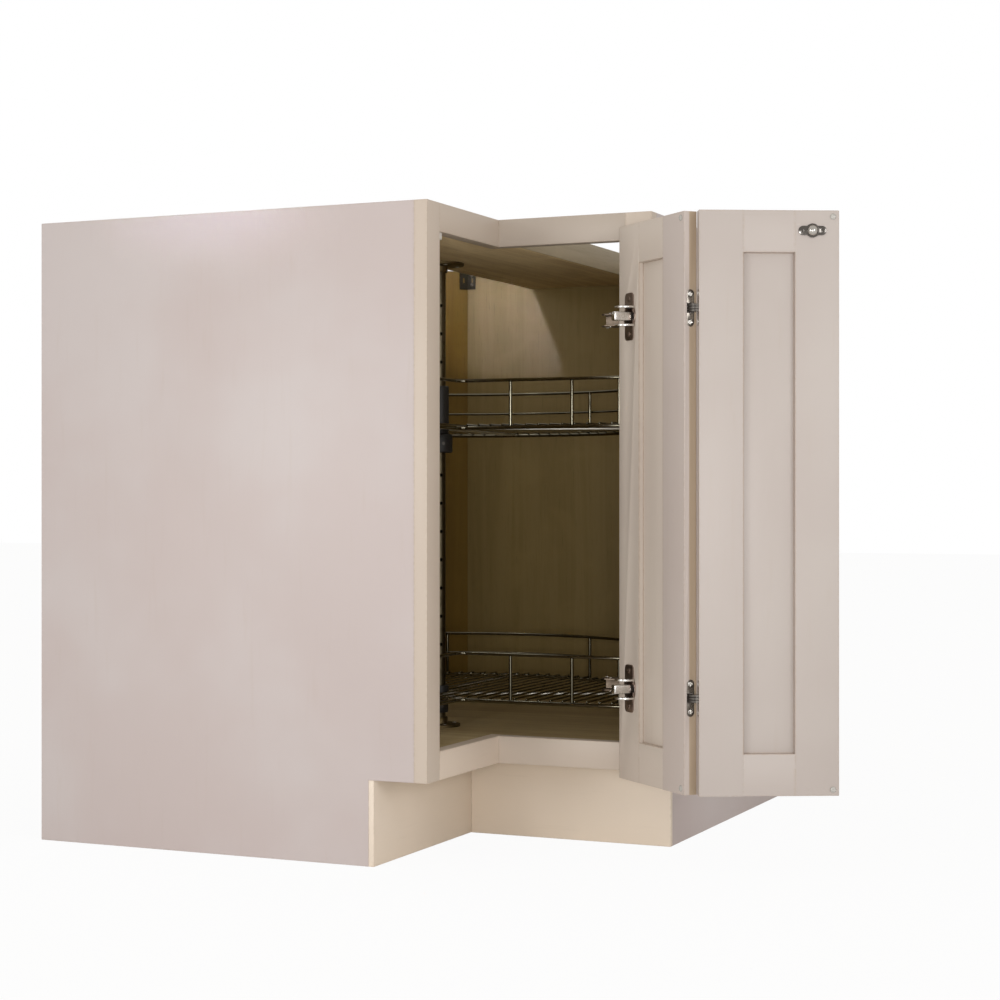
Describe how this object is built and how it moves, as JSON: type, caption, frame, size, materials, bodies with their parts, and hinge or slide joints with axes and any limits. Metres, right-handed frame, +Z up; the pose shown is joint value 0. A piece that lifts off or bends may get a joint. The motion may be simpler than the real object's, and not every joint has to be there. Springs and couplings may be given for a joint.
{
  "type": "corner carousel cabinet",
  "caption": "Corner base cabinet with an L-shaped front, a folding pair of recessed-panel doors and round notched wire trays that turn on an upright pole.",
  "frame": {"origin": "on the floor, at the middle of the corner where the two toe-kick boards meet", "axes": "+X to the right along the right-hand front, +Y back to the wall behind that front, +Z up; the left-hand front faces +X and the right-hand front faces -Y"},
  "size_m": [1.1132, 0.838, 0.876],
  "materials": {
    "panel_paint": "satin paint over board",
    "frame_paint": "satin paint over timber",
    "door_paint": "satin paint over timber",
    "toe_board": "satin paint over thin board",
    "inner_board": "sealed board",
    "dark_metal": "dark plated steel",
    "chrome": "bright chromed wire",
    "bright_steel": "nickel-plated steel",
    "hub_plastic": "moulded, matte",
    "bumper_plastic": "clear soft buffer",
    "catch_plastic": "pale moulding"
  },
  "bodies": {
    "cabinet": {"left_end_panel": "panel_paint", "right_end_panel": "panel_paint", "left_back_panel": "inner_board", "right_back_panel": "inner_board", "diagonal_back_panel": "inner_board", "cabinet_floor": "inner_board", "left_stile": "frame_paint", "right_stile": "frame_paint", "left_top_rail": "frame_paint", "right_top_rail": "frame_paint", "left_bottom_rail": "frame_paint", "right_bottom_rail": "frame_paint", "left_toe_kick": "toe_board", "right_toe_kick": "toe_board", "carousel_board": "inner_board", "corner_brackets": "dark_metal", "carcass_screws": "bright_steel", "hinge_plates": "dark_metal", "catch_body": "catch_plastic", "pole": "bright_steel", "top_bearing": "dark_metal", "bottom_bearing": "dark_metal", "upper_collar": "hub_plastic", "lower_collar": "hub_plastic", "collar_screws": "bright_steel"},
    "leaf_a": {"leaf_a_hinge_stile": "door_paint", "leaf_a_fold_stile": "door_paint", "leaf_a_top_rail": "door_paint", "leaf_a_bottom_rail": "door_paint", "leaf_a_panel": "door_paint", "hinge_cups": "bright_steel", "hinge_arms": "bright_steel", "hinge_cup_screws": "bright_steel", "fold_plates_a": "bright_steel", "fold_screws_a": "bright_steel", "bumpers_a": "bumper_plastic"},
    "leaf_b": {"leaf_b_fold_stile": "door_paint", "leaf_b_free_stile": "door_paint", "leaf_b_top_rail": "door_paint", "leaf_b_bottom_rail": "door_paint", "leaf_b_panel": "door_paint", "fold_plates_b": "bright_steel", "fold_links": "dark_metal", "fold_screws_b": "bright_steel", "catch_strike": "bright_steel", "strike_screws": "bright_steel", "bumpers_b": "bumper_plastic"},
    "upper_tray": {"upper_hub": "hub_plastic", "upper_floor": "chrome", "upper_rim": "chrome", "upper_posts": "chrome", "upper_rail": "chrome", "upper_guard_wire": "chrome"},
    "lower_tray": {"lower_hub": "hub_plastic", "lower_floor": "chrome", "lower_rim": "chrome", "lower_posts": "chrome", "lower_rail": "chrome", "lower_guard_wire": "chrome"}
  },
  "joints": [
    {"name": "door_swing", "type": "hinge", "parent": "cabinet", "child": "leaf_a", "pos_m": [0.2789, -0.094, 0.48], "axis": [0, 0, 1], "range_deg": [-138, 28]},
    {"name": "door_fold", "type": "hinge", "parent": "leaf_a", "child": "leaf_b", "pos_m": [0.4156, -0.20431, 0.48], "axis": [0, 0, 1], "range_deg": [-4.4, 21.5]},
    {"name": "upper_tray_spin", "type": "hinge", "parent": "cabinet", "child": "upper_tray", "pos_m": [-0.096, 0.096, 0.6], "axis": [0, 0, 1], "range_deg": [-360, 360]},
    {"name": "lower_tray_spin", "type": "hinge", "parent": "cabinet", "child": "lower_tray", "pos_m": [-0.096, 0.096, 0.2], "axis": [0, 0, 1], "range_deg": [-360, 360]}
  ],
  "couplings": [
    {"joint": "door_fold", "follows": "door_swing", "ratio": -0.15579}
  ]
}
